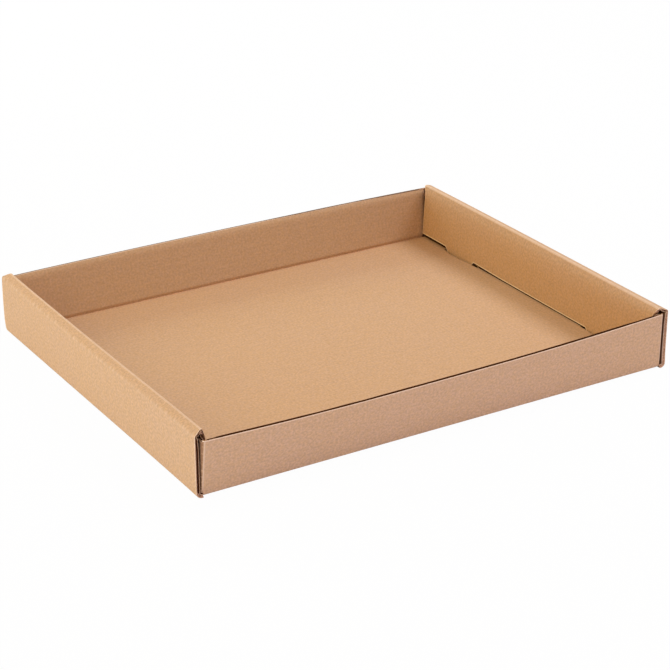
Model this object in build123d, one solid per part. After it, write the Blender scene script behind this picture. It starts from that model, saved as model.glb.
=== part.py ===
from build123d import *
from math import atan2, degrees
import os

# Shallow open tray folded from one die-cut blank of corrugated board.
# X runs along the tray, Y across it and Z up. The underside of the base is at Z = 0.
# The walls on the left and right are rolled over: each goes up, over a narrow sloping
# strip, and down again inside, where two tabs lock into slots of the base.
# The front and rear walls are one board thick, and a flap at each of their ends is
# held between the two layers of a rolled wall. Both walls lean and bow outwards.

# Board
board = 2.8                    # thickness of the corrugated board
liner = 0.35                   # facing sheet on each side of the fluting
edge_hollow = 1.4              # depth of the open flutes seen in a cut edge
inside_radius = 0.3            # inside of every crease

# Base and folds
tray_length = 400.0            # over the outer faces of the rolled walls
tray_width = 316.0             # over the feet of the front and rear walls
side_fold_radius = 3.0         # outside of the folds under the rolled walls
foot_fold_radius = 2.4         # outside of the folds under the front and rear walls
corner_fold_radius = 3.0       # outside of the upright folds at the flaps

# Rolled walls
crease_height = 46.8           # where the outer wall turns into the sloping strip
strip_width = 7.8              # between the two creases of the roll
left_rise = 3.8                # climb of the strip on the left wall
right_rise = 2.4               # climb of the strip on the right wall
crease_radius = 2.0            # outside of the crease at the top of the outer wall
ridge_radius = 1.2             # outside of the crease along the ridge
knee_drop = 3.8                # from that crease down to where the inner wall straightens
knee_depth = 9.8               # from the outer face in to the inner wall at the knee
knee_radius = 14.0             # bend of the inner wall at the knee
end_overhang = 1.5             # the outer wall passes the foot of the front wall
ridge_setback = 2.0            # the strip ends this much earlier at the ridge
flap_gap = 1.0                 # air between the outer wall and the flap
inner_gap = 2.4                # air between the flap and the foot of the inner wall

# Inner wall, its tabs and their slots in the base
foot_gap = 1.4                 # from the base up to the inner wall
end_play = 1.2                 # from the front or rear wall to the inner wall
end_slope_drop = 1.4           # from the crease down to where its sloping ends start
tab_start = 38.5               # from the foot fold of the nearer wall to the tab
tab_flat_start = 45.5          # same, to the flat bottom of the tab
tab_flat_end = 77.0            # same, to the far end of the flat bottom
tab_end = 81.0                 # same, to the far side of the tab
tab_lift = 0.3                 # from the underside of the base up to the tab
tab_shoulder_radius = 2.4      # both corners of the curved side of the tab
slot_near_play = 2.2           # from the middle of the tray's side of the slot to the tab
slot_far_play = 0.5            # from the tab to the other side of the slot
slot_end_play = 6.0            # past the slanted side of the tab

# Front and rear walls and their flaps
wall_drop = 2.2                # from the crease of the roll down to the top of these walls
front_lean = 5.0               # the top of the front wall stands out at its ends
front_bow = 3.2                # further outward bow in the middle of that edge
rear_lean = 5.5
rear_bow = 5.9
flap_length = 70.0             # from the corner to the free end of the flap
flap_drop = 2.0                # top of the flap below the top of its wall
flap_foot_gap = 2.2            # from the base up to the flap
flap_chamfer = 9.0             # corners at the free end of the flap

half_length = tray_length / 2
half_width = tray_width / 2
roll_depth = 3 * board + flap_gap + inner_gap
knee_height = crease_height - knee_drop
end_slope_foot = crease_height - end_slope_drop
wall_height = crease_height - wall_drop
flap_face = half_length - board - flap_gap
roll_end = half_width + end_overhang
inner_end = half_width - board - end_play
ridge_end = roll_end - ridge_setback
foot_height = board + foot_gap
inner_foot = half_length - roll_depth
reach = 2 * tray_length        # longer than any cut needs


def roll_path(rise):
    """Outside face of the right-hand rolled wall, from its foot fold to its inner lower edge."""
    run = (strip_width**2 - rise**2) ** 0.5
    return [
        (half_length, 0),
        (half_length, crease_height),
        (half_length - run, crease_height + rise),
        (half_length - knee_depth, knee_height),
        (inner_foot, foot_height),
    ]


roll_radii = [side_fold_radius, crease_radius, ridge_radius, knee_radius, 0]
hidden_radii = [inside_radius, inside_radius, inside_radius, knee_radius - board, 0]


def offset_path(path, distance):
    """The path moved to its left, with mitred corners."""
    points = [Vector(*point) for point in path]
    runs = [(end - start).normalized() for start, end in zip(points, points[1:])]
    sides = [Vector(-run.Y, run.X) for run in runs]
    before = [sides[0]] + sides
    after = sides + [sides[-1]]
    return [
        point + (a + b) * (distance / (1 + a.dot(b)))
        for point, a, b in zip(points, before, after)
    ]


def mirrored(path):
    """The path on the other side of the tray, run the other way."""
    return [(-x, z) for x, z in reversed(path)]


def band(path, near, far, near_radii=None, far_radii=None):
    """Face in the XZ plane between two offsets of a path."""
    square = [0] * len(path)
    outline = offset_path(path, near) + offset_path(path, far)[::-1]
    radii = (near_radii or square) + (far_radii or square)[::-1]
    return Plane.XZ * make_face(FilletPolyline(*outline, radius=radii, close=True))


def along_y(face, half_span):
    """Solid that runs from -half_span to half_span along Y."""
    return extrude(face, amount=half_span, both=True)


def folded_section():
    """The base and both rolled walls as one ribbon of board, before it is cut to shape."""
    path = mirrored(roll_path(left_rise)) + roll_path(right_rise)
    near_radii = roll_radii[::-1] + roll_radii
    far_radii = hidden_radii[::-1] + hidden_radii
    return along_y(band(path, 0, board, near_radii, far_radii), roll_end)


def inner_wall_outline(ridge_height, inset=0.0):
    """Inner wall seen along X, its ends sloping out towards the ridge."""
    end = inner_end - inset
    slope_top = ridge_end - inset
    half = [
        (slope_top, ridge_height + board),
        (slope_top, ridge_height),
        (end, end_slope_foot),
        (end, board),
    ]
    return Plane.YZ * make_face(Polyline(*half, *mirrored(half), close=True))


def inner_wall_zone(path):
    """All that could belong to the inner wall below the mitre of the ridge."""
    margin = flap_gap / 2
    ridge = path.index(max(path, key=lambda point: point[1]))
    near = offset_path(path, -margin)[ridge:]
    far = offset_path(path, board + margin)[ridge:]
    drop = Vector(0, foot_gap / 2)
    outline = near + [near[-1] - drop, far[-1] - drop] + far[::-1]
    return along_y(Plane.XZ * make_face(Polyline(*outline, close=True)), roll_end + board)


def outer_wall_outline(ridge_height, inset=0.0):
    """Outer wall and strip seen along X, the ends of the strip sloping in to the ridge."""
    slope_top = ridge_end - inset
    end = roll_end - inset
    half = [
        (slope_top, ridge_height + board),
        (slope_top, ridge_height),
        (end, crease_height),
        (end, -board),
    ]
    return Plane.YZ * make_face(Polyline(*half, *mirrored(half), close=True))


def rolled_wall_waste(rise):
    """What the die cuts from the right-hand rolled wall, open flutes in its ends included."""
    path = roll_path(rise)
    ridge_height = crease_height + rise
    zone = inner_wall_zone(path)
    inner = extrude(inner_wall_outline(ridge_height), amount=reach)
    inner_closed = extrude(inner_wall_outline(ridge_height, edge_hollow), amount=reach)
    outer = extrude(outer_wall_outline(ridge_height), amount=reach)
    outer_closed = extrude(outer_wall_outline(ridge_height, edge_hollow), amount=reach)
    core = along_y(band([(half_length - board, 0)] + path, liner, board - liner), roll_end)
    above_crease = Pos(reach / 2, 0, crease_height + board) * Box(reach, reach, 2 * board)
    hollow = ((core - zone) - outer_closed) + ((core & zone) - inner_closed)
    return (zone - inner) + (above_crease - outer) + hollow


def tab():
    """Locking tab at the rear end of the right-hand inner wall, lapping the wall above it."""
    tilt = degrees(atan2(roll_depth - knee_depth, knee_height - foot_height))
    lap = tab_end - tab_flat_end
    start = half_width - tab_start
    end = half_width - tab_end
    outline = [
        (start + lap, foot_height + lap),
        (start + lap, foot_height),
        (start, foot_height),
        (half_width - tab_flat_start, tab_lift),
        (half_width - tab_flat_end, tab_lift),
        (end, foot_height),
        (end - lap, foot_height),
        (end - lap, foot_height + lap),
    ]
    radii = [0, 0, tab_shoulder_radius, tab_shoulder_radius, inside_radius, inside_radius, 0, 0]
    face = Plane.YZ * make_face(FilletPolyline(*outline, radius=radii, close=True))
    foot_line = Pos(inner_foot, 0, foot_height) * Rot(0, tilt, 0)
    return foot_line * Pos(0, 0, -foot_height) * extrude(face, amount=board)


def base_waste():
    """What lies past the rounded rear fold of the base, between the rolled walls."""
    past = roll_end + board
    start = half_width - 2 * foot_fold_radius
    outline = [
        (half_width, 2 * board),
        (half_width, 0),
        (start, 0),
        (start, -board),
        (past, -board),
        (past, 2 * board),
    ]
    radii = [0, foot_fold_radius, 0, 0, 0, 0]
    face = Plane.YZ * make_face(FilletPolyline(*outline, radius=radii, close=True))
    return extrude(face, amount=half_length - board, both=True)


def slot():
    """Slot for that tab, longer than the tab on the side of the middle."""
    length = tab_end - tab_start + slot_end_play
    width = slot_near_play + board + slot_far_play
    x = inner_foot - slot_near_play + width / 2
    y = half_width - tab_start - length / 2
    return Pos(x, y, 0) * Box(width, length, 3 * board)


def at_four_corners(solid):
    """The solid of the rear right corner, and its mirror images at the other three."""
    right = [solid, mirror(solid, about=Plane.XZ)]
    return right + [mirror(each, about=Plane.YZ) for each in right]


def wall_plan(lean, bow, inset):
    """Plan of the rear wall and its flaps, filled in as far as the flaps reach."""
    side = flap_face - inset
    fold = half_width + lean - inset
    tip = half_width - flap_length
    outline = Polyline((-side, fold), (-side, tip), (side, tip), (side, fold))
    if bow:
        long_edge = ThreePointArc((side, fold), (0, fold + bow), (-side, fold))
    else:
        long_edge = Line((side, fold), (-side, fold))
    face = make_face(outline.edges() + long_edge.edges())
    folds = face.vertices().group_by(Axis.Y)[-1]
    return fillet(folds, max(corner_fold_radius - inset, inside_radius))


def wall_shell(lean, bow, near, far):
    """Rear wall and flaps between two depths in the board, straight at the foot, bowed above."""
    foot = wall_plan(0, 0, near) - wall_plan(0, 0, far)
    top = wall_plan(lean, bow, near) - wall_plan(lean, bow, far)
    return loft([Pos(0, 0, board) * foot, Pos(0, 0, wall_height) * top], ruled=True)


def flap_outline():
    """Flap and wall seen along X, with room for the bow of the wall."""
    tip = half_width - flap_length
    foot = board + flap_foot_gap
    top = wall_height - flap_drop
    return Plane.YZ * make_face(
        Polyline(
            (tip + flap_chamfer, foot),
            (tip, foot + flap_chamfer),
            (tip, top - flap_chamfer),
            (tip + flap_chamfer, top),
            (half_width - corner_fold_radius, top),
            (half_width - corner_fold_radius, wall_height),
            (half_width + 2 * roll_depth, wall_height),
            (half_width + 2 * roll_depth, 0),
            (half_width - board, 0),
            (half_width - board, foot),
            close=True,
        )
    )


def single_wall(lean, bow):
    """Rear wall with a flap at each end and open flutes along its top edge."""
    shell = wall_shell(lean, bow, 0, board)
    core = wall_shell(lean, bow, liner, board - liner)
    hollow = core & Pos(0, 0, wall_height) * Box(reach, reach, 2 * edge_hollow)
    return (shell & extrude(flap_outline(), amount=reach, both=True)) - hollow


tray = folded_section() - base_waste()
tray -= mirror(base_waste(), about=Plane.XZ)
tray -= rolled_wall_waste(right_rise)
tray -= mirror(rolled_wall_waste(left_rise), about=Plane.YZ)
tray -= at_four_corners(slot())
tray += at_four_corners(tab())
tray += single_wall(rear_lean, rear_bow)
tray += Rot(0, 0, 180) * single_wall(front_lean, front_bow)

# The origin is under the middle of the outline, bowed walls included
outline_centre = (rear_lean + rear_bow - front_lean - front_bow) / 2
tray = Pos(0, -outline_centre, 0) * tray

os.makedirs("parts", exist_ok=True)
export_step(tray, "parts/tray.step")
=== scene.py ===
# %% [markdown]
# # A folded cardboard tray
# The tray is one sheet of corrugated board, cut to an outline, creased and folded.
# The CAD model gives its exact folded form. Here the same sheet is made again as real board is:
# two facing papers with a wavy paper between them. Each paper starts as a flat grid, is cut to
# the outline of the blank, and is then folded. So every cut edge shows true open flutes, and
# the pattern of the paper follows the sheet round each fold.

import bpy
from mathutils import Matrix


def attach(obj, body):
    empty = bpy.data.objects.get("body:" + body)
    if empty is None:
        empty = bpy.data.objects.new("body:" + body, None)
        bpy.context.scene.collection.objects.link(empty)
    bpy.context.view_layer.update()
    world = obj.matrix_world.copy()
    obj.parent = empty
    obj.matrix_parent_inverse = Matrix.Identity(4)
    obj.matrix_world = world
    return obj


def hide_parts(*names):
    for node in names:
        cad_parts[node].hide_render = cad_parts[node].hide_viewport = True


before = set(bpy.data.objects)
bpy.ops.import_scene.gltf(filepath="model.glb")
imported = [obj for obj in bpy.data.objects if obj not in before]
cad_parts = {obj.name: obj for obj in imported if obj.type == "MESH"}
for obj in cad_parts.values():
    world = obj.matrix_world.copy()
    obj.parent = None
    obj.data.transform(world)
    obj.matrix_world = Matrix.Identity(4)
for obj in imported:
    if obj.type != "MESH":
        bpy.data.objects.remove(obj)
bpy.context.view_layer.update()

# %% Blender modules and one unit
from math import atan2, cos, pi, radians, sin, tan
import bpy
from mathutils import Matrix, Vector, noise

mm = 0.001

# %% [markdown]
# ## Sizes
# Blender works in metres, and board is thought of in millimetres, so each size is written as a
# number of millimetres. The first group describes the board, the others the folded tray.

# %% Sizes of the board
BOARD = 2.8 * mm            # over both facing papers
LINER = 0.35 * mm           # one facing paper
MEDIUM = 0.2 * mm           # the wavy paper between them
PITCH = 6.5 * mm            # from one flute to the next

# %% Sizes of the folded tray
HALF_LENGTH = 200 * mm      # to the outer face of a rolled wall
HALF_WIDTH = 158 * mm       # to the outer face of the front or rear wall, at its foot
CREASE_HEIGHT = 46.8 * mm   # of the crease between a roll's outer wall and its strip
STRIP_WIDTH = 7.8 * mm      # of the strip between a roll's outer and inner wall
RISES = {"left": 3.8 * mm, "right": 2.4 * mm}   # how far each strip climbs inwards
KNEE_HEIGHT = 43 * mm       # where the inner wall bends to run straight down
KNEE_DEPTH = 9.8 * mm       # from the outer face in to that bend
FLAP_GAP = 1.0 * mm         # between the outer wall and an end flap
INNER_GAP = 2.4 * mm        # between an end flap and the inner wall's foot
INNER_FOOT = HALF_LENGTH - 3 * BOARD - FLAP_GAP - INNER_GAP     # the inner wall's face
FOOT_HEIGHT = BOARD + 1.4 * mm      # of the inner wall's lower edge
OVERHANG = 1.5 * mm         # of the rolled walls past the front and rear walls
WALL_HEIGHT = 44.6 * mm     # of the front and rear walls
FLAP_LENGTH = 70 * mm       # of an end flap inside the roll
FLAP_DROP = 2 * mm          # from a wall's top edge down to its flap's
CENTRE_SHIFT = -1.6 * mm    # centres the tray with its leaning walls
print("inner walls stand", round(2 * INNER_FOOT / mm, 1), "mm apart at their feet")

# %% [markdown]
# No folded tray is quite square. The top edges of its front and rear walls lean and bow
# outwards, and the rolled walls bulge a little, slip along the tray and settle at one corner.
# These are sizes too. A random bend would not give this tray's own corners.

# %% How this tray has relaxed
# The top edge of a wall leans out this far at its ends, and bows further in the middle.
LEANS = {
    ("front", "left"): 5.75 * mm,
    ("front", "right"): 1.5 * mm,
    ("rear", "left"): 8.2 * mm,
    ("rear", "right"): 4.8 * mm,
}
BOWS = {"front": 5.2 * mm, "rear": 5.8 * mm}
# The ends of the rolls slip towards the rear and settle down or up.
SLIPS = {
    ("front", "left"): 0.7 * mm,
    ("rear", "left"): 5.2 * mm,
    ("front", "right"): 0.9 * mm,
    ("rear", "right"): 0.3 * mm,
}
SETTLES = {
    ("front", "left"): 0.1 * mm,
    ("rear", "left"): -1.0 * mm,
    ("front", "right"): 0.0 * mm,
    ("rear", "right"): 0.0 * mm,
}
# The outer walls bulge in the middle, and stand off at the front.
BULGES = {"left": 1.3 * mm, "right": 0.9 * mm}
FRONT_FLARES = {"left": 1.1 * mm, "right": 0.8 * mm}
# The front wall's corners slip to the right by this much at the foot and at the top.
CORNER_SLIPS = {"left": (-0.9 * mm, -1.05 * mm), "right": (0.7 * mm, -0.3 * mm)}
# A roll's ridge ends this far short of its outer wall.
SETBACKS = {"front": 2 * mm, "rear": 4.6 * mm}
# The inner wall's foot stands higher towards the rear.
FOOT_LIFTS = {"left": 0.0 * mm, "right": 1.8 * mm}
print("rear wall leans out", round((LEANS["rear", "left"] + BOWS["rear"]) / mm, 1), "mm at most")

# %% Sizes of the tabs and slots, measured from the nearer wall's foot
TAB_START = 38.5 * mm
TAB_FLAT_START = 45.5 * mm
TAB_FLAT_END = 77 * mm
TAB_END = 81 * mm
TAB_DROP = FOOT_HEIGHT - 0.3 * mm
SLOT_CUT_PLAY = 2.2 * mm    # between a tab and the line that the slot is first cut along
SLOT_FAR_PLAY = 0.5 * mm    # on the side of the outer wall
SLOT_END_PLAY = 6 * mm      # past the slanted side of the tab
SLOT_PLAYS = [              # mm from the wall's foot, and the finished gap there in mm
    (38.5, 0.6),
    (50, 2.8),
    (57, 2.8),
    (78, 0.9),
    (87, 0.5),
]
print("tabs are", round((TAB_END - TAB_START) / mm, 1), "mm long and stand out",
      round(TAB_DROP / mm, 1), "mm")

# %% [markdown]
# ## The line that the board follows
# A section through the tray shows the middle of the board as straight runs joined by small arcs.
# A point of the flat blank is known by its distance along that line, so folding the sheet is
# one lookup: distance in, place and direction out. The arcs keep the sheet's true length, which
# turning one panel after another by hand would not.

# %% A folded line, read by distance
class FoldLine:
    """Straight runs and arcs in a row. folds holds each arc's start, end and radius."""

    def __init__(self, corners, radii):
        self.pieces = []
        self.folds = []
        place = Vector(corners[0])
        travelled = 0.0
        for i, radius in enumerate(radii, start=1):
            corner = Vector(corners[i])
            before = corner - Vector(corners[i - 1])
            after = Vector(corners[i + 1]) - corner
            turn = before.angle_signed(after) * -1
            cut = radius * tan(abs(turn) / 2)
            heading = atan2(before.y, before.x)
            run = (corner - place).length - cut
            arc = radius * abs(turn)
            self.pieces.append((travelled, run, place, heading, 0.0))
            start = corner - before.normalized() * cut
            self.pieces.append((travelled + run, arc, start, heading, turn / arc))
            self.folds.append((travelled + run, travelled + run + arc, radius))
            travelled += run + arc
            place = corner + after.normalized() * cut
        last = Vector(corners[-1]) - place
        self.pieces.append((travelled, last.length, place, atan2(last.y, last.x), 0.0))
        self.length = travelled + last.length

    def at(self, distance):
        """Place on the line and the direction to its left."""
        for start, run, place, heading, bend in self.pieces:
            if distance <= start + run:
                break
        d = distance - start
        end = heading + bend * d
        if bend:
            step = Vector(((sin(end) - sin(heading)) / bend, (cos(heading) - cos(end)) / bend))
        else:
            step = Vector((cos(heading), sin(heading))) * d
        return place + step, Vector((-sin(end), cos(end)))


def offset_corners(corners, distance):
    """Corners of the line moved to its left, so that both faces keep their distance."""
    points = [Vector(c) for c in corners]
    ways = [(b - a).normalized() for a, b in zip(points, points[1:])]
    sides = [Vector((-w.y, w.x)) for w in ways]
    pairs = zip(points, [sides[0]] + sides, sides + [sides[-1]])
    return [p + (a + b) * (distance / (1 + a.dot(b))) for p, a, b in pairs]


# %% The three lines of this tray
def roll_line(rise):
    """From the middle of the base, up a rolled wall and down inside it."""
    run = (STRIP_WIDTH**2 - rise**2) ** 0.5
    outside = [
        (0, 0),
        (HALF_LENGTH, 0),
        (HALF_LENGTH, CREASE_HEIGHT),
        (HALF_LENGTH - run, CREASE_HEIGHT + rise),
        (HALF_LENGTH - KNEE_DEPTH, KNEE_HEIGHT),
        (INNER_FOOT, FOOT_HEIGHT),
    ]
    radii = [1.6 * mm, 0.7 * mm, 0.3 * mm, 12 * mm]
    return FoldLine(offset_corners(outside, BOARD / 2), radii)


rolls = {side: roll_line(rise) for side, rise in RISES.items()}
wall_line = FoldLine(
    [(0, BOARD / 2), (HALF_WIDTH - BOARD / 2, BOARD / 2), (HALF_WIDTH - BOARD / 2, WALL_HEIGHT)],
    [1.0 * mm],
)
flap_corner = HALF_LENGTH - BOARD - FLAP_GAP - BOARD / 2
corner_line = FoldLine(
    [(0, 0), (flap_corner, 0), (flap_corner, FLAP_LENGTH)],
    [0.3 * mm],
)
for name, line in {**rolls, "front and rear": wall_line}.items():
    starts = [round(start / mm, 1) for start, end, radius in line.folds]
    print(name, "line is", round(line.length / mm, 1), "mm long, folds at", starts)

# %% [markdown]
# ## The flat blank
# The blank starts as a grid that covers everything, with several rows to a flute, because the
# wavy paper has to follow each wave. Lines are then cut where the outline and the folds are, and
# the faces outside the outline are deleted. The outline could also be drawn point by point and
# filled, but a grid already has the small even faces that folding needs.

# %% Where the outline lies on the flat sheet
# x runs along the tray and y across it, both from the middle.
INNER_END = HALF_WIDTH - BOARD - 1.2 * mm       # y, end of a roll's inner wall
ROLL_END = HALF_WIDTH + OVERHANG                # y, end of a roll's outer wall
SLIT_START = wall_line.folds[0][0]              # y, where roll and flap part
SLIT_SIDES = (flap_corner + 0.4 * mm, flap_corner + 1.0 * mm)   # x, both sides of that slit
WALL_END = wall_line.length                     # y, top edge of the front and rear walls
FLAP_LOW = ROLL_END + 0.3 * mm                  # y, lower edge of a flap
FLAP_TOP = WALL_END - FLAP_DROP                 # y, upper edge of a flap
FLAP_TIP = corner_line.length                   # x, end of a flap
CORNER_END = corner_line.folds[0][1]            # x, where a wall has turned into its flap
UNDER_FOOT = INNER_FOOT + 0.6 * mm              # x, from here the inner wall hides the base
UNDER_LIFTED_FOOT = INNER_FOOT + 1.8 * mm       # x, the same where its foot is lifted
SLOT_IN = INNER_FOOT - SLOT_CUT_PLAY            # x, side of a slot nearer the middle
SLOT_OUT = INNER_FOOT + BOARD + SLOT_FAR_PLAY   # x, its other side
SLOT_NEAR = HALF_WIDTH - TAB_START              # y, end of a slot nearer the wall
SLOT_FAR = HALF_WIDTH - TAB_END - SLOT_END_PLAY     # y, its other end
print("blank is", round(sum(line.length for line in rolls.values()) / mm, 1), "mm by",
      round(2 * WALL_END / mm, 1), "mm without its tabs")

# %% Folds, slopes, tabs and slots on the flat sheet
FOLD_MARGIN = 1.2 * mm
SLOPE_RUN = 5.0 * mm        # past the ridge, until the inner wall has its full setback


def smooth(t):
    """Eases from 0 to 1."""
    t = min(max(t, 0.0), 1.0)
    return t * t * (3 - 2 * t)


def between(first, last, share):
    """The value this share of the way from first to last."""
    return first + (last - first) * share


def fold_cuts(fold, steps):
    """Distances that divide one fold into short steps, with a line on each side of it."""
    start, end, radius = fold
    inside = [start + (end - start) * i / steps for i in range(steps + 1)]
    return [start - FOLD_MARGIN] + inside + [end + FOLD_MARGIN]


def slope_end(line):
    """Distance along a roll at which the inner wall's end stops sloping."""
    start, end, radius = line.folds[2]
    return end + SLOPE_RUN


def tab_reach(y):
    """How far a tab stands out below the inner wall at this place across the tray, 0 to 1."""
    inward = HALF_WIDTH - abs(y)
    if inward < TAB_START or inward > TAB_END:
        return 0.0
    if inward < TAB_FLAT_START:
        return smooth((inward - TAB_START) / (TAB_FLAT_START - TAB_START))
    if inward > TAB_FLAT_END:
        return (TAB_END - inward) / (TAB_END - TAB_FLAT_END)
    return 1.0


def slot_play(y):
    """Gap between a tab and the slot's side nearer the middle, which is not cut quite straight."""
    inward = (HALF_WIDTH - abs(y)) / mm
    for (a, play_a), (b, play_b) in zip(SLOT_PLAYS, SLOT_PLAYS[1:]):
        if inward <= b:
            break
    share = min(max((inward - a) / (b - a), 0), 1)
    return between(play_a, play_b, share) * mm


# %% Cut lines across the sheet
RUBBED_AND_HIGHLIGHT_BORDER = 1.0 * mm           # a cut this far inside each cut edge marks off its pale border, worn paper and partly a painted highlight


def both(values):
    """These distances on both sides of the middle."""
    return sorted({round(sign * v, 7) for v in values for sign in (-1, 1)})


ROLL_STEPS = (5, 4, 5, 3)   # cuts in each fold of a roll, from the base to the knee
x_cuts = []
for side, sign in (("left", -1), ("right", 1)):
    line = rolls[side]
    marks = [v for fold, steps in zip(line.folds, ROLL_STEPS) for v in fold_cuts(fold, steps)]
    marks += [slope_end(line), line.length - RUBBED_AND_HIGHLIGHT_BORDER, line.length]
    x_cuts += [sign * v for v in marks]
x_cuts += both([SLOT_IN, SLOT_OUT, *SLIT_SIDES, FLAP_TIP])
x_cuts += both(fold_cuts(corner_line.folds[0], 5) + [UNDER_FOOT, UNDER_LIFTED_FOOT])
tab_side = [TAB_START + (TAB_FLAT_START - TAB_START) * i / 5 for i in range(6)]
y_cuts = both([HALF_WIDTH - v for v in tab_side + [TAB_FLAT_END, TAB_END]])
y_cuts += both([SLOT_FAR, INNER_END - RUBBED_AND_HIGHLIGHT_BORDER, INNER_END, ROLL_END - RUBBED_AND_HIGHLIGHT_BORDER, ROLL_END])
y_cuts += both([FLAP_LOW, FLAP_TOP, WALL_END - RUBBED_AND_HIGHLIGHT_BORDER, WALL_END])
y_cuts += both(fold_cuts(wall_line.folds[0], 4))
print(len(x_cuts), "cuts along the tray and", len(y_cuts), "across it")

# %% [markdown]
# ## Cutting the blank
# A bisect with everything selected cuts the whole sheet along one plane, the way a rule in a
# die does. Faces are then chosen by where their middle lies.

# %% Start, cut and trim a sheet
COLUMN = 12 * mm            # the grid's step along the tray, where the sheet is nearly straight
KRAFT, CUT_EDGE, PAINTED_SHADE = FINISHES = (0, 1, 2)      # material numbers of every sheet


def edit(mode):
    bpy.ops.object.mode_set(mode=mode)


def flat_sheet(name, rows_per_flute):
    """A flat grid over the whole blank, cut along all lines."""
    bpy.ops.object.select_all(action="DESELECT")
    reach_x = max(line.length for line in rolls.values())
    rows = int(2 * WALL_END / PITCH * rows_per_flute)
    columns = int(2 * reach_x / COLUMN)
    bpy.ops.mesh.primitive_grid_add(x_subdivisions=columns, y_subdivisions=rows, size=2)
    sheet = bpy.context.object
    sheet.name = name
    for _ in FINISHES:
        sheet.data.materials.append(None)
    edit("EDIT")
    bpy.ops.mesh.select_all(action="SELECT")
    bpy.ops.transform.resize(value=(reach_x, WALL_END, 1))
    for axis, cuts in ((0, x_cuts), (1, y_cuts)):
        normal = [0, 0, 0]
        normal[axis] = 1
        for cut in cuts:
            place = [0, 0, 0]
            place[axis] = cut
            bpy.ops.mesh.select_all(action="SELECT")
            bpy.ops.mesh.bisect(plane_co=place, plane_no=normal, threshold=0.02 * mm)
    edit("OBJECT")
    return sheet


def kept(x, y):
    """True inside the outline of the blank."""
    side = rolls["left" if x < 0 else "right"]
    x, y = abs(x), abs(y)
    if SLOT_IN < x < SLOT_OUT and SLOT_FAR < y < SLOT_NEAR:     # a slot
        return False
    if x > SLIT_SIDES[1] and y < ROLL_END:                      # a roll
        return x < side.length and (x < slope_end(side) or y < INNER_END)
    if x < SLIT_SIDES[0]:                                       # the base and the plain walls
        return y < WALL_END
    if x < SLIT_SIDES[1] and y < SLIT_START:                    # the base, up to the slit
        return True
    if x < CORNER_END:                                          # the turn into a flap
        return y > FLAP_LOW
    return x < FLAP_TIP and FLAP_LOW < y < FLAP_TOP             # a flap


def trim(sheet):
    """Deletes the faces outside the outline."""
    edit("EDIT")
    bpy.ops.mesh.select_mode(type="FACE")
    edit("OBJECT")
    for polygon in sheet.data.polygons:
        polygon.select = not kept(polygon.center.x, polygon.center.y)
    edit("EDIT")
    bpy.ops.mesh.delete(type="FACE")
    edit("OBJECT")
    print(sheet.name, "has", len(sheet.data.polygons), "faces after trimming")


# %% [markdown]
# ## Slopes, tabs and slots
# The end of the inner wall slopes out to the ridge, and its lower edge has two tabs. Both are
# shapes of the flat outline, so vertices are moved to them before the sheet is folded. More cuts
# could follow the slopes too, but would leave slivers. The flat coordinates are then kept as the
# UV map, in decimetres, so that paper patterns stay true to the blank.

# %% What the shape of the outline needs
LIFT_START = 20 * mm        # from the middle to the rear, where a foot begins to lift
LIFT_RUN = 110 * mm         # and on from there, until it has its full lift
HAIR = 1e-6                 # a vertex this near a cut lies on it
REAR_CORNER_WEAR = 1.5 * mm     # handling has rounded the rear corners of the rolls' top edges
WEAR_REACH = 2.5 * mm       # on each side of the crease
FOOT_HIGHLIGHT_MARK = 3.0           # marks the inner walls' feet, whose pale border, cut fibre and a painted highlight, is wider


def nearest_fold(distance, folds):
    """Distance to the nearest fold, and that fold's radius."""
    gaps = [(max(start - distance, distance - end, 0.0), radius) for start, end, radius in folds]
    return min(gaps)


def at_cut_edge(x, y):
    """True on the edges whose pale border shows, worn paper and partly a painted highlight."""
    x, y = abs(x), abs(y)
    if x > SLIT_SIDES[1] and y > ROLL_END - HAIR:
        return y < ROLL_END + HAIR
    if x > slope_end(rolls["right"]) and y > INNER_END - HAIR:  # near enough for the left too
        return True
    return y > WALL_END - HAIR


def slope_share(x, line, setback):
    """How far the sloping end of a roll stands out, from 1 at the crease to 0 at its end."""
    crease, ridge = line.folds[1][1], line.folds[2][0]
    at_ridge = (ROLL_END - setback - INNER_END) / (ROLL_END - INNER_END)
    if abs(x) < ridge:
        return 1 - (1 - at_ridge) * (abs(x) - crease) / (ridge - crease)
    return at_ridge * (slope_end(line) - abs(x)) / (slope_end(line) - ridge)


# %% Shape the outline, then keep the flat coordinates
UV_SCALE = 10.0


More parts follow.
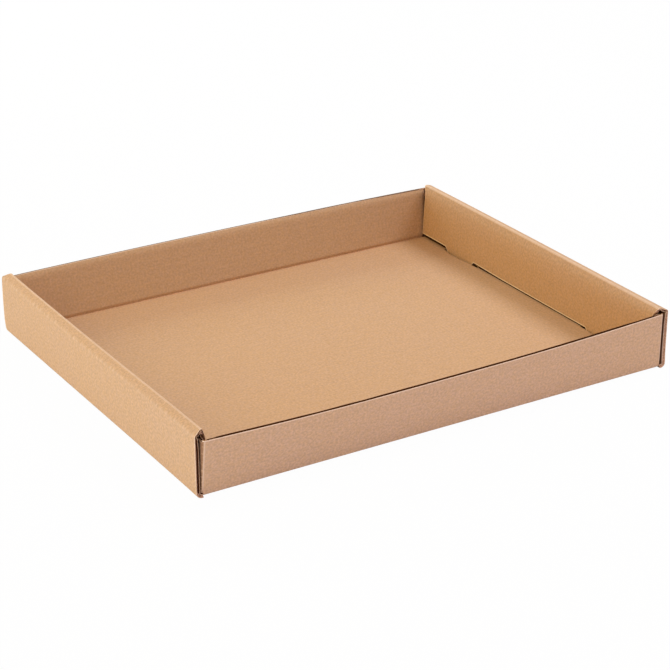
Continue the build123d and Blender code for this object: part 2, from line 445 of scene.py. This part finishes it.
def shape_outline(sheet):
    """Moves vertices to the true outline, marks the edges with pale borders and keeps the flat
    place as UV.
    """
    rubbed_and_highlight = sheet.data.attributes.new("rubbed_and_highlight", "FLOAT", "POINT")
    for vertex in sheet.data.vertices:
        x, y = vertex.co.x, vertex.co.y
        side, end = ("left" if x < 0 else "right"), ("front" if y < 0 else "rear")
        line = rolls[side]
        crease, ridge, knee = line.folds[1][1], line.folds[2][0], line.folds[3][1]
        at_foot = abs(x) > line.length - HAIR
        rubbed_and_highlight.data[vertex.index].value = FOOT_HIGHLIGHT_MARK if at_foot else float(at_cut_edge(x, y))
        # The sloping ends of the rolls
        sloping = crease < abs(x) < slope_end(line) + HAIR
        if sloping and INNER_END - RUBBED_AND_HIGHLIGHT_BORDER / 2 < abs(y) < ROLL_END + HAIR:
            setback = SETBACKS[end] if side == "left" else SETBACKS["front"]
            y_new = INNER_END + (abs(y) - INNER_END) * slope_share(x, line, setback)
            vertex.co.y = y_new if y > 0 else -y_new
        # The worn rear corners
        if abs(y - ROLL_END) < HAIR and abs(x) < ridge:
            gap, _ = nearest_fold(abs(x), line.folds[1:2])
            vertex.co.y -= REAR_CORNER_WEAR * (1 - smooth(gap / WEAR_REACH))
        # The tabs, and the lifted foot between them
        if abs(x) > knee and abs(y) < ROLL_END + HAIR:
            share = (abs(x) - knee) / (line.length - knee)
            lift = FOOT_LIFTS[side] * smooth((y - LIFT_START) / LIFT_RUN) * (1 - tab_reach(y))
            stretch = share * (TAB_DROP * tab_reach(y) - lift)
            vertex.co.x = x + stretch if x > 0 else x - stretch
        # The slots' inner sides
        if abs(abs(x) - SLOT_IN) < HAIR and SLOT_FAR - HAIR < abs(y) < SLOT_NEAR + HAIR:
            slot_x = INNER_FOOT - slot_play(y)
            vertex.co.x = slot_x if x > 0 else -slot_x
    edit("EDIT")
    bpy.ops.mesh.select_all(action="SELECT")
    bpy.ops.mesh.remove_doubles(threshold=0.01 * mm)
    edit("OBJECT")
    uv = sheet.data.uv_layers[0] if sheet.data.uv_layers else sheet.data.uv_layers.new()
    uv.name = "blank"
    for loop in sheet.data.loops:
        place = sheet.data.vertices[loop.vertex_index].co
        uv.data[loop.index].uv = (place.x * UV_SCALE, place.y * UV_SCALE)


# %% [markdown]
# ## Folding
# A creasing rule has crushed the board along each fold, so there its inner side lies closer to
# its outer one. Between the creases no sheet is quite flat. Both are changes of depth in the
# board. A point is therefore folded in three steps: its depth, its place on the folded line, and
# how this tray has relaxed there. Bend modifiers would do one fold at a time and stretch the
# corners, where a wall turns into its flap.

# %% The sheet's own unevenness, and how creases pinch it
PINCH_REACH = 2.2 * mm      # a crease pinches the board this far on each side
FADE = 12 * mm              # waves and bulges fade this near a fold or a corner


def pinch(distance, folds):
    """Share of the board's inner half that a crease leaves open, less at a tight one."""
    gap, radius = nearest_fold(distance, folds)
    tightest = min(1.0, 0.85 * radius / (BOARD / 2))
    return tightest + (1 - tightest) * smooth(gap / PINCH_REACH)


def unevenness(x, y):
    """Height of a real sheet's slow waves, which differ from place to place."""
    slow = noise.noise(Vector((x, y, 3.1)) / (110 * mm))
    quick = noise.noise(Vector((x, y, 7.7)) / (38 * mm))
    return 0.28 * mm * slow + 0.1 * mm * quick


# %% Fold a point of a rolled wall or of the base
LOOSE_RUN = 5 * mm          # past the flap's slit, until a roll is free to stand off
SLIP_HEIGHT = 15 * mm       # above the base, until a roll has its full slip


def roll_point(x, y, depth_of):
    """Folded place of a flat point. depth_of(open share) is its depth towards the inside."""
    side = "left" if x < 0 else "right"
    line = rolls[side]
    gap, _ = nearest_fold(abs(x), line.folds)
    depth = depth_of(pinch(abs(x), line.folds)) + unevenness(x, y) * smooth(gap / FADE)
    place, left = line.at(min(abs(x), line.length + TAB_DROP))
    reach, height = place + left * depth
    # How this tray has relaxed
    along = (y / ROLL_END + 1) / 2
    climb = min(max(height / CREASE_HEIGHT, 0), 1)
    outer = 1 - smooth((abs(x) - line.folds[2][0]) / FADE)
    reach += BULGES[side] * (1 - (y / ROLL_END) ** 2) * climb * outer
    loose = smooth((abs(x) - SLIT_SIDES[1]) / LOOSE_RUN)
    reach += FRONT_FLARES[side] * max(-y / ROLL_END, 0) ** 4 * outer * loose
    slip = between(SLIPS["front", side], SLIPS["rear", side], along)
    slip *= (loose + smooth(height / SLIP_HEIGHT)) / 2
    height += between(SETTLES["front", side], SETTLES["rear", side], along) * climb
    return Vector((reach if x > 0 else -reach, y + slip, height))


# %% Fold a point of the front or rear wall, or of the base
REAR_PRESS = 0.6            # share of the board's thickness lost along the rear top edge
FRONT_PRESS = 0.5           # the same for the front, and only in a few places
PRESS_DEPTH = 3 * mm        # below the top edge
TURN_RUN = 10 * mm          # past a corner, until the flap no longer slips with the wall


def pressed(x, end):
    """Share of the board's thickness that stacking and handling took from a top edge."""
    if end == "rear":
        return REAR_PRESS
    return max(FRONT_PRESS * noise.noise(Vector((x / (26 * mm), 0.4, 5.3))) - 0.05, 0)


def wall_point(x, y, depth_of):
    """Folded place of a flat point. ax and ay are its distances from the two middle lines."""
    end = "front" if y < 0 else "rear"
    ax, ay = abs(x), abs(y)
    open_share = pinch(ay, wall_line.folds)
    if ay > SLIT_START:
        open_share = min(open_share, pinch(ax, corner_line.folds))
    open_share *= 1 - pressed(x, end) * smooth(1 - (WALL_END - ay) / PRESS_DEPTH)
    gap, _ = nearest_fold(ay, wall_line.folds)
    rough = unevenness(x, y) * smooth(gap / FADE) * smooth((flap_corner - ax) / FADE)
    depth = depth_of(open_share) + (abs(rough) if ay < SLIT_START else rough)
    # The section of the wall gives the height, and its plan the turn into the flap.
    place, left = wall_line.at(min(ay, wall_line.length))
    level = -left.x * depth
    corner, inward = corner_line.at(min(ax, corner_line.length))
    start, finish, _ = wall_line.folds[0]
    standing = smooth((ay - start) / (finish - start))
    plan_x = ax + (corner.x + inward.x * level - ax) * standing
    plan_in = corner.y * standing + inward.y * level + (1 - inward.y) * level * (1 - standing)
    height = place.y + left.y * depth
    # How this wall leans and bows
    climb = min(max((height - BOARD) / (WALL_HEIGHT - BOARD), 0), 1)
    across = min(max(x / flap_corner, -1), 1)
    lean = between(LEANS[end, "left"], LEANS[end, "right"], (across + 1) / 2)
    lean += BOWS[end] * (1 - abs(across) ** 2.5)
    lean *= 1 - min(corner.y / FLAP_LENGTH, 1)
    outward = place.x - plan_in + lean * climb
    height = min(height, BOARD) + max(height - BOARD, 0) * (1 - (lean / WALL_HEIGHT) ** 2) ** 0.5
    plan_x = plan_x if x > 0 else -plan_x
    if end == "front":
        at_foot, at_top = CORNER_SLIPS["left" if x < 0 else "right"]
        slip = between(at_foot, at_top, climb) * abs(across)
        plan_x += slip * standing * (1 - smooth(corner.y / TURN_RUN))
    return Vector((plan_x, outward if y > 0 else -outward, height))


def fold(sheet, depth_at):
    """Folds the sheet, each point at the depth in the board that depth_at gives it."""
    slit = (SLIT_SIDES[0] + SLIT_SIDES[1]) / 2
    for vertex in sheet.data.vertices:
        x, y = vertex.co.x, vertex.co.y
        rolled = abs(x) > slit and abs(y) < ROLL_END + HAIR
        place = (roll_point if rolled else wall_point)(x, y, depth_at(x, y))
        vertex.co = place + Vector((0, CENTRE_SHIFT, 0))
    sheet.data.update()


# %% [markdown]
# ## The two facing papers
# Each paper lies half a board from the middle. On the inside of a fold the board is crushed, so
# there the inner paper comes closer. Solidify then gives the paper its thickness and closes it.
#
# A face gets one of three finishes: kraft where it shows, a torn edge round the rim, or painted
# shade, a near-black paper, where it is shut inside a roll, under a roll's foot or between two
# layers. Those places are nearly black on a real tray, but light leaks far into gaps of clean
# and even width, so their shade is painted. The right roll's ends stand open, so there the kraft
# goes on into the roll.

# %% Give a sheet its thickness and finishes
PAPER_ROWS = 2              # for each wave


def thicken(sheet, thickness, finishes=None):
    """finishes holds the material numbers of each face's two sides, the inner side first."""
    count = len(sheet.data.polygons)
    solid = sheet.modifiers.new("paper", "SOLIDIFY")
    solid.thickness = thickness
    solid.offset = 0
    solid.use_even_offset = False
    bpy.context.view_layer.objects.active = sheet
    bpy.ops.object.modifier_apply(modifier=solid.name)
    if finishes:
        for polygon in sheet.data.polygons:     # all inner sides, all outer sides, then the rim
            layer, number = divmod(polygon.index, count)
            polygon.material_index = finishes[number][layer] if layer < 2 else CUT_EDGE
    print(sheet.name, "has", len(sheet.data.polygons), "faces as a solid")


def facing_paper(name, depth_of, finishes_at):
    sheet = flat_sheet(name, PAPER_ROWS)
    trim(sheet)
    shape_outline(sheet)
    finishes = [finishes_at(p.center.x, p.center.y) for p in sheet.data.polygons]
    fold(sheet, lambda x, y: depth_of)
    thicken(sheet, LINER, finishes)
    return sheet


def paint_shade_on_wall_tops(sheet, finishes):
    """Painted shade along a wall's top edge, where the pressed-down board shows its open flutes.
    """
    for polygon in sheet.data.polygons:
        middle = polygon.center
        on_wall = abs(middle.x) < INNER_FOOT and abs(middle.y) > INNER_END
        on_top = on_wall and middle.z > WALL_HEIGHT - TOP_DEPTH
        if on_top and polygon.material_index in finishes:
            polygon.material_index = PAINTED_SHADE


# %% Make both facing papers
IN_ROLL = HALF_LENGTH - 5 * mm      # from here on the blank is a roll
OPEN_END = ROLL_END - 3 * mm        # light reaches this far into the right roll
TOP_DEPTH = 2 * mm                  # painted shade runs down a top edge to here
LINER_DEPTH = (BOARD - LINER) / 2


def at_light_end(x, y):
    return x > IN_ROLL and abs(y) > OPEN_END


# Painted shade: the sides of the facing papers that face the flutes, and the inner paper where it
# is shut inside a roll, under an inner wall's foot or on a flap, get the near-black finish.
def outer_finishes(x, y):
    return (KRAFT if at_light_end(x, y) else PAINTED_SHADE), KRAFT


def inner_finishes(x, y):
    shut_from = UNDER_LIFTED_FOOT if y > SLOT_NEAR else UNDER_FOOT
    on_base = shut_from < abs(x) < IN_ROLL and abs(y) < INNER_END
    in_roll = abs(x) > IN_ROLL and abs(y) < ROLL_END and not at_light_end(x, y)
    on_flap = abs(x) > CORNER_END and abs(y) > ROLL_END
    return (PAINTED_SHADE if on_base or in_roll or on_flap else KRAFT), PAINTED_SHADE


def outer_depth(share):
    return -LINER_DEPTH


def inner_depth(share):
    return LINER_DEPTH * (2 * share - 1)


outer_paper = facing_paper("outer_paper", outer_depth, outer_finishes)
inner_paper = facing_paper("inner_paper", inner_depth, inner_finishes)
# painted shade on the inner paper's top edges
paint_shade_on_wall_tops(inner_paper, [CUT_EDGE])

# %% [markdown]
# ## The wavy paper
# The flutes run along the tray, and up the rolled walls. A cut that runs along a flute opens it,
# and because flutes are never quite true to the blank, the opening wanders. The wavy paper is
# the same flat sheet again, but its depth in the board is a wave, which flattens in a crease. An
# array of one wave would be simpler, but it couldn't follow the folds or show at a slanted cut.

# %% Make the wavy paper
FLUTE_ROWS = 5              # for each wave
FLUTE_SKEW = 0.0032         # on the walls the flutes run this much askew of the blank
SKEW_RUN = 20 * mm          # past a roll's end, until they have that skew
FLUTE_DRIFT = 0.35 * mm


def flute_depth(x, y):
    askew = (x + HALF_LENGTH) * FLUTE_SKEW * smooth((abs(y) - ROLL_END) / SKEW_RUN)
    wandering = noise.noise(Vector((x / (60 * mm), y / (200 * mm), 1.7)))
    drift = askew + FLUTE_DRIFT * wandering
    wave = -cos(2 * pi * (y + ROLL_END + drift) / PITCH)
    swing = (BOARD - 2 * LINER - MEDIUM) / 2 * wave

    def depth(share):
        return swing * (1 + share) / 2 - LINER_DEPTH * (1 - share) / 2

    return depth


fluting = flat_sheet("fluting", FLUTE_ROWS)
trim(fluting)
shape_outline(fluting)
fold(fluting, flute_depth)
thicken(fluting, MEDIUM)
# painted shade on the wavy paper's top edges
paint_shade_on_wall_tops(fluting, [KRAFT, CUT_EDGE])
papers = [outer_paper, inner_paper, fluting]

# %% [markdown]
# ## Shader maths
# A paper's colour and relief are sums and products of a few patterns. Placing each Math node by
# hand would hide that, so a small class lets an expression on sockets add the nodes itself:
# Signal is a socket with arithmetic, and Shader's method "node" makes every other kind of node.

# %% A socket with arithmetic, and the nodes of one material
class Signal:
    """A number that varies over a surface."""

    def __init__(self, shader, socket):
        self.shader = shader
        self.socket = socket

    def math(self, operation, *terms):
        return self.shader.node("ShaderNodeMath", {"operation": operation}, dict(enumerate(terms)))

    def __add__(self, other):
        return self.math("ADD", self, other)

    def __sub__(self, other):
        return self.math("SUBTRACT", self, other)

    def __rsub__(self, other):
        return self.math("SUBTRACT", other, self)

    def __mul__(self, other):
        return self.math("MULTIPLY", self, other)

    def __abs__(self):
        return self.math("ABSOLUTE", self)

    def __gt__(self, other):
        return self.math("GREATER_THAN", self, other)

    __radd__ = __add__
    __rmul__ = __mul__


class Shader:
    """The nodes of one material or world."""

    def __init__(self, tree):
        self.tree = tree

    def node(self, kind, settings=None, values=None, output=0):
        """Adds a node, sets it up, feeds its sockets and gives back one output."""
        node = self.tree.nodes.new(kind)
        for name, value in (settings or {}).items():
            setattr(node, name, value)
        self.feed(node, values or {})
        return Signal(self, node.outputs[output])

    def feed(self, node, values):
        for name, value in values.items():
            if isinstance(value, Signal):
                self.tree.links.new(value.socket, node.inputs[name])
            else:
                node.inputs[name].default_value = value

    def ramp(self, value, start, end, low=0.0, high=1.0):
        """Eases from low at start to high at end."""
        values = {"Value": value, "From Min": start, "From Max": end}
        values.update({"To Min": low, "To Max": high})
        return self.node("ShaderNodeMapRange", {"interpolation_type": "SMOOTHSTEP"}, values)

    def cloud(self, place, stretch, detail=2.0, roughness=0.5):
        """Noise with this many features per decimetre along and across the flutes."""
        values = {0: place, 1: (*stretch, 1)}
        vector = self.node("ShaderNodeVectorMath", {"operation": "MULTIPLY"}, values)
        values = {"Vector": vector, "Scale": 1.0, "Detail": detail, "Roughness": roughness}
        return self.node("ShaderNodeTexNoise", {"noise_dimensions": "2D"}, values)

    def blend(self, factor, first, second):
        values = {0: factor, 6: first, 7: second}
        return self.node("ShaderNodeMix", {"data_type": "RGBA"}, values, output=2)

    def tint(self, colour, by):
        values = {0: 1.0, 6: colour, 7: by}
        settings = {"data_type": "RGBA", "blend_type": "MULTIPLY"}
        return self.node("ShaderNodeMix", settings, values, output=2)


def new_material(name):
    material = bpy.data.materials.new(name)
    material.use_nodes = True
    return material, Shader(material.node_tree), material.node_tree.nodes["Principled BSDF"]


# %% [markdown]
# ## Kraft paper
# Unbleached kraft is pressed from long brown fibres. It is cloudy at the size of a few
# millimetres and faintly streaked along the flutes, whose crowns show through as low waves.
# A flat colour would look like plastic, and an image would blur in a close view. Noise on the
# blank's own coordinates stays sharp, and runs on across every crease as the real sheet does.
# Handling rubs it pale along creases and cut edges, and crushes it brown inside the turn of a
# corner, where painted shade darkens the brown in the recess behind a roll's end. Painted
# highlights lie along the ridges, the corners and, over the pale cut fibre, the cut edges, most
# of all at the inner walls' feet.

# %% Colours of the paper, in linear light
KRAFT_DARK = (0.557, 0.364, 0.206, 1)       # the two tones of its grain
KRAFT_PALE = (0.707, 0.468, 0.266, 1)
GREYER = (0.994, 1.004, 1.05, 1)            # the two tints that it drifts between
ORANGER = (1.006, 0.996, 0.95, 1)
FIBRE_AND_HIGHLIGHT_PALE = (0.84, 0.64, 0.45, 1)          # single fibres, rubbed paper and painted highlights
FIBRE_BROWN = (0.36, 0.19, 0.095, 1)
# crushed paper at a corner's turn, darkened as painted shade where it lies in the recess behind a
# roll's end
CRUSHED_AND_SHADE_BROWN = (0.24, 0.11, 0.05, 1)
# pale cut fibre with a painted highlight, along the cut edges and widest at the inner walls' feet
CUT_AND_HIGHLIGHT_PALE = (0.95, 0.78, 0.57, 1)
PAINTED_SHADE_DARK = (0.085, 0.028, 0.010, 1)      # painted shade, for paper that gets almost no light
PAINTED_SHADE_PALE = (0.15, 0.056, 0.021, 1)
IN_MM = 1000 / UV_SCALE


# %% The paper's patterns
def paper_patterns(shader):
    """Places in millimetres of the flat blank, and the patterns that both papers share."""
    place = shader.node("ShaderNodeUVMap", {"uv_map": "blank"})
    along = shader.node("ShaderNodeSeparateXYZ", None, {0: place}) * IN_MM
    across = shader.node("ShaderNodeSeparateXYZ", None, {0: place}, output=1) * IN_MM
    grain = shader.cloud(place, (56, 62), 3.0, 0.6)
    streaks = shader.cloud(place, (5, 42), 2.0, 0.6)
    drift = shader.cloud(place, (1.6, 1.6), 1.0)
    angle = across * (2 * pi / (PITCH / mm))
    crown = angle.math("COSINE", angle)
    return place, along, across, grain, streaks, drift, crown


def band(shader, value, middle, half_width, edge):
    """1 within half_width of middle, easing to 0 over edge."""
    return shader.ramp(abs(value - middle), half_width, half_width + edge, 1, 0)


def fold_middle(shader, along, number):
    """Distance of a roll's fold, which is not quite the same on the left and the right."""
    left, right = [sum(rolls[side].folds[number][:2]) / 2 / mm for side in ("left", "right")]
    return (along > 0.0) * (right - left) + left


def wear_and_painted_light_masks(shader, place, along, across, crown):
    """Masks of the worn places and of painted light and shade, each from 0 to 1. Distances are in
    millimetres.
    """
    breaks = shader.cloud(place, (7, 30), 2.0, 0.7)
    dash = shader.ramp(crown, -0.3, 0.8, 0.25, 1.0)
    reach = abs(along)
    crease = band(shader, reach, fold_middle(shader, along, 1), 0.35, 0.6)
    crease = crease * dash * shader.ramp(breaks, 0.38, 0.6)
    # the ridge's pale line is a painted highlight
    ridge = band(shader, reach, fold_middle(shader, along, 2), 0.15, 0.2)
    edge = shader.node("ShaderNodeAttribute", {"attribute_name": "rubbed_and_highlight"}, output=2)
    # the pale border along the marked edges, widest at the inner walls' feet, is partly a painted
    # highlight
    foot = shader.ramp(edge, 0.3, 1.0)
    edge = shader.ramp(edge, 0.1, 0.5) * shader.ramp(breaks, 0.2, 0.5, 0.5, 1.0)
    start, end, _ = [v / mm for v in corner_line.folds[0]]
    on_wall = shader.ramp(abs(across), ROLL_END / mm + 0.3, ROLL_END / mm + 0.5)
    bend = end - start
    # the pale line where a wall turns into its flap is a painted highlight
    corner = band(shader, reach, start + bend * 0.15, bend * 0.12, bend * 0.15) * on_wall
    # crushed paper, partly painted shade in the recess behind a roll's end
    crushed_and_shade = shader.ramp(reach, start + bend * 0.3, start + bend * 0.6) * on_wall
    return crease, ridge, edge, foot, corner, crushed_and_shade


# %% [markdown]
# The two sides of the board differ a little: the outer paper's grain is stronger, and only the
# inner paper is crushed brown, itself partly painted shade, and gets painted shade where the
# corners shut it off from light. So one function makes both materials from three values.

# %% The facing papers' materials
def painted_corner_shade(shader, along, across):
    """Mask of painted shade on the strip of a front or rear wall that the end of the inner wall
    shuts off from light.
    """
    height = abs(across) - SLIT_START / mm
    start = height * 0.11 + (INNER_FOOT / mm + 0.4)
    return shader.ramp(abs(along) - start, 0, 0.5) * (height > 0.0)


def kraft_paper(name, grain_share, crushed_and_shade_share, inside):
    """The material of one facing paper."""
    material, shader, surface = new_material(name)
    place, along, across, grain, streaks, drift, crown = paper_patterns(shader)
    # Tone: grain, streaks along the flutes and soft patches
    patches = shader.cloud(place, (9, 13), 2.0, 0.5)
    tone = (grain - 0.5) * grain_share + (streaks - 0.5) * 0.3 + (patches - 0.5) * 0.3
    tone = tone + crown * 0.03 + 0.5
    colour = shader.blend(tone, KRAFT_DARK, KRAFT_PALE)
    # Tint, which drifts from place to place
    hue = shader.cloud(place, (26, 34), 2.0, 0.6) * 0.8 + drift * 0.2
    hue = shader.blend(shader.ramp(hue, 0.35, 0.65), ORANGER, GREYER)
    colour = shader.tint(colour, hue)
    # Single fibres, stretched along the flutes
    fibres = shader.cloud(place, (60, 190), 2.0, 0.5)
    colour = shader.blend(shader.ramp(fibres, 0.68, 0.8, 0, 0.35), colour, FIBRE_AND_HIGHLIGHT_PALE)
    colour = shader.blend(shader.ramp(fibres, 0.32, 0.2, 0, 0.35), colour, FIBRE_BROWN)
    # Wear and painted light: the crushed brown with its painted shade and the painted shade of the
    # shut corner first, then pale wear and painted highlights on top
    crease, ridge, edge, foot, corner, crushed_and_shade = wear_and_painted_light_masks(shader, place, along, across, crown)
    specks = shader.ramp(shader.cloud(place, (60, 60), 2.0, 0.7), 0.58, 0.66, 1.0, 0.2)
    colour = shader.blend(crushed_and_shade * specks * crushed_and_shade_share, colour, CRUSHED_AND_SHADE_BROWN)
    if inside:
        # painted shade on the strip that the inner wall's end shuts off from light
        colour = shader.blend(painted_corner_shade(shader, along, across) * 0.85, colour, PAINTED_SHADE_DARK)
    # crease wear is real; the ridge and corner lines are painted highlights, and the cut edges'
    # pale lines are worn paper and partly painted highlight
    rubbed_and_highlight = crease * 0.28 + ridge * 0.6 + edge * 0.5 + corner * 0.45
    colour = shader.blend(rubbed_and_highlight.math("MINIMUM", rubbed_and_highlight, 1.0), colour, FIBRE_AND_HIGHLIGHT_PALE)
    # pale cut fibre and a painted highlight along the marked edges, widest at the inner walls'
    # feet
    colour = shader.blend(foot, colour, CUT_AND_HIGHLIGHT_PALE)
    # Relief in millimetres, and a sheen that is a little stronger where the grain is pale
    relief = crown * 0.012 + grain * 0.05 + fibres * 0.03
    values = {"Strength": 1.0, "Distance": mm, "Height": relief}
    normal = shader.node("ShaderNodeBump", None, values)
    roughness = 0.95 - grain * 0.25
    shader.feed(surface, {"Base Color": colour, "Roughness": roughness, "Normal": normal})
    surface.inputs["Specular IOR Level"].default_value = 0.25
    print(name, "has", len(material.node_tree.nodes), "nodes")
    return material


kraft_outside = kraft_paper("kraft_outside", 2.8, 0.8, False)
kraft_inside = kraft_paper("kraft_inside", 2.2, 1.0, True)

# %% [markdown]
# The cut edge of a paper is torn fibre, rougher than its face and without its pattern. The wavy
# paper inside is a browner one. The painted shade is a near-black paper for both, where no light
# gets in.

# %% Cut edges, the wavy paper and the painted shade
def rough_paper(name, dark, pale, stretch):
    """Torn or recycled fibre, and the painted shade, mottled between two colours."""
    material, shader, surface = new_material(name)
    place = shader.node("ShaderNodeUVMap", {"uv_map": "blank"})
    fray = shader.cloud(place, stretch, 3.0, 0.65)
    colour = shader.blend(shader.ramp(fray, 0.3, 0.7), dark, pale)
    values = {"Strength": 1.0, "Distance": mm, "Height": fray * 0.08}
    normal = shader.node("ShaderNodeBump", None, values)
    shader.feed(surface, {"Base Color": colour, "Roughness": 0.95, "Normal": normal})
    surface.inputs["Specular IOR Level"].default_value = 0.1
    return material


cut_edge = rough_paper("cut_edge", (0.48, 0.295, 0.155, 1), (0.77, 0.54, 0.335, 1), (60, 60))
wavy_paper = rough_paper("wavy_paper", (0.54, 0.295, 0.16, 1), (0.88, 0.54, 0.32, 1), (70, 70))
# painted shade: a near-black paper where no light gets in
painted_shade_paper = rough_paper("painted_shade_paper", PAINTED_SHADE_DARK, PAINTED_SHADE_PALE, (70, 70))
looks = (
    (outer_paper, kraft_outside, cut_edge),
    (inner_paper, kraft_inside, cut_edge),
    (fluting, wavy_paper, wavy_paper),
)
for sheet, face, edge in looks:
    for number, material in zip(FINISHES, (face, edge, painted_shade_paper)):
        sheet.data.materials[number] = material
    print(sheet.name, "wears", [slot.name for slot in sheet.data.materials])

# %% [markdown]
# The faces along a fold turn by a few degrees each and are shaded as one curve. The cut edges turn
# by a right angle and stay sharp. All three papers then ride on the tray's one body.

# %% Smooth the folds and ride on the tray's body
bpy.ops.object.select_all(action="DESELECT")
for sheet in papers:
    sheet.select_set(True)
bpy.context.view_layer.objects.active = outer_paper
bpy.ops.object.shade_smooth_by_angle(angle=radians(35))
for sheet in papers:
    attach(sheet, "root")
    print(sheet.name, "rides on the tray")
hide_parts("tray")

# %% [markdown]
# ## Floor
# The photo's ground is pure white right up to the tray, and only a trace of its shadow is left.
# More light on everything would wash out the paper, so the floor itself is shown as white: rays
# from the camera see a mix of a white glow and the lit floor, which keeps a faint shadow. Under
# the tray the floor is only the lit one, so that no glow shines into the slots.

# %% White floor
SHOWN_WHITE = 0.98
DARK_INSET = 5 * mm         # the part without glow ends this far inside the tray's foot


def seen_directly(shader):
    """1 for rays from the camera, gloss or glass, 0 for light that bounces."""
    path = shader.node("ShaderNodeLightPath", None, None)
    rays = {output.name: Signal(shader, output) for output in path.socket.node.outputs}
    seen = rays["Is Camera Ray"] + rays["Is Glossy Ray"] + rays["Is Transmission Ray"]
    return seen.math("MINIMUM", seen, 1.0)


bpy.ops.object.select_all(action="DESELECT")
bpy.ops.mesh.primitive_plane_add(size=8, location=(0, 0, -0.2 * mm))
floor = bpy.context.object
floor.name = "floor"
floor_material, shader, surface = new_material("white_floor")
shader.feed(surface, {"Base Color": (0.82, 0.82, 0.82, 1), "Roughness": 1.0})
glow = shader.node("ShaderNodeEmission", None, {"Color": (1, 1, 1, 1), "Strength": 1.0})
lit = Signal(shader, surface.outputs[0])
spot = shader.node("ShaderNodeTexCoord", output=3)
spot_x = abs(shader.node("ShaderNodeSeparateXYZ", None, {0: spot}))
spot_y = abs(shader.node("ShaderNodeSeparateXYZ", None, {0: spot}, output=1) - CENTRE_SHIFT)
beside = spot_x > HALF_LENGTH - DARK_INSET
open_floor = beside.math("MAXIMUM", beside, spot_y > HALF_WIDTH - DARK_INSET)
values = {0: seen_directly(shader) * open_floor * SHOWN_WHITE, 1: lit, 2: glow}
shown = shader.node("ShaderNodeMixShader", None, values)
shader.feed(floor_material.node_tree.nodes["Material Output"], {"Surface": shown})
floor.data.materials.append(floor_material)
print("floor is", round(floor.dimensions.x, 1), "m wide")

# %% [markdown]
# ## Light
# A white room lights the tray from all round, and a few large soft lamps add direction. One
# stands high on the right, so the right wall shades a band of the base. The low ones at the left
# and in front stand for white boards on the table: the near walls hide the inside from them,
# which is why the outer faces are paler than the inner ones. The tints follow the photo too: the
# faces turned to the left are the most orange ones, so the light from high on the left is warm.

# %% White room
ROOM_LIGHT = (0.503, 0.435, 0.434, 1)
world = bpy.data.worlds.new("studio")
bpy.context.scene.world = world
world.use_nodes = True
shader = Shader(world.node_tree)
background = world.node_tree.nodes["Background"]
room = shader.blend(seen_directly(shader), ROOM_LIGHT, (1, 1, 1, 1))
shader.feed(background, {"Color": room, "Strength": 1.0})
print("room light", ROOM_LIGHT[:3])


# %% Soft lamps
def soft_lamp(name, direction, distance, size, power, colour):
    """A rectangular lamp that faces the tray from a direction."""
    data = bpy.data.lights.new(name, "AREA")
    data.shape = "RECTANGLE"
    data.size, data.size_y = size
    data.energy = power
    data.color = colour
    lamp = bpy.data.objects.new(name, data)
    bpy.context.scene.collection.objects.link(lamp)
    lamp.location = Vector(direction).normalized() * distance
    lamp.rotation_euler = Vector(direction).to_track_quat("Z", "Y").to_euler()
    lamp.visible_camera = False
    print(name, power, "W at", [round(v, 2) for v in lamp.location])


LAMPS = (                   # name, direction, distance, size, watts, colour
    ("right_high", (0.76, 0, 1), 1.6, (0.55, 0.55), 10.5, (0.88, 0.865, 1)),
    ("rear_middle", (0, 1, 0.5), 1.6, (0.9, 0.6), 7.4, (0.894, 1, 0.928)),
    ("left_high", (-1, 0.1, 0.75), 1.6, (1.0, 1.0), 6.8, (1, 0.67, 0.04)),
    ("left_low", (-1, 0, 0.05), 1.0, (1.2, 0.09), 4.1, (0.513, 0.698, 1)),
    ("front_low", (0, -1, 0.025), 1.0, (1.6, 0.05), 3.2, (0.668, 0.656, 1)),
)
for lamp in LAMPS:
    soft_lamp(*lamp)
bpy.context.scene.view_settings.view_transform = "Standard"

# %% [markdown]
# ## Camera
# The camera's angles, distance and focal length come from the corners of the tray in the photo.
# A long lens from above the front left corner keeps parallel edges nearly parallel.

# %% Camera
AZIMUTH = radians(-31.41)
ELEVATION = radians(24.24)
DISTANCE = 1.6198
AIM_RIGHT, AIM_UP = 3.83 * mm, 11.07 * mm
FOCAL_PIXELS = 2094.8
IMAGE_PIXELS = 670
SENSOR_WIDTH = 36           # in millimetres, as the lens
back = Vector((sin(AZIMUTH) * cos(ELEVATION), -cos(AZIMUTH) * cos(ELEVATION), sin(ELEVATION)))
right = Vector((cos(AZIMUTH), sin(AZIMUTH), 0))
up = back.cross(right)
camera_data = bpy.data.cameras.new("camera")
camera = bpy.data.objects.new("camera", camera_data)
bpy.context.scene.collection.objects.link(camera)
camera_data.sensor_width = SENSOR_WIDTH
camera_data.lens = FOCAL_PIXELS / IMAGE_PIXELS * SENSOR_WIDTH
aim = right * AIM_RIGHT + up * AIM_UP + Vector((0, CENTRE_SHIFT, 0))
camera.location = aim + back * DISTANCE
turned = Matrix((right, up, back)).transposed()
camera.rotation_euler = turned.to_euler()
bpy.context.scene.camera = camera
print("lens", round(camera_data.lens, 1), "mm at", [round(v, 3) for v in camera.location])
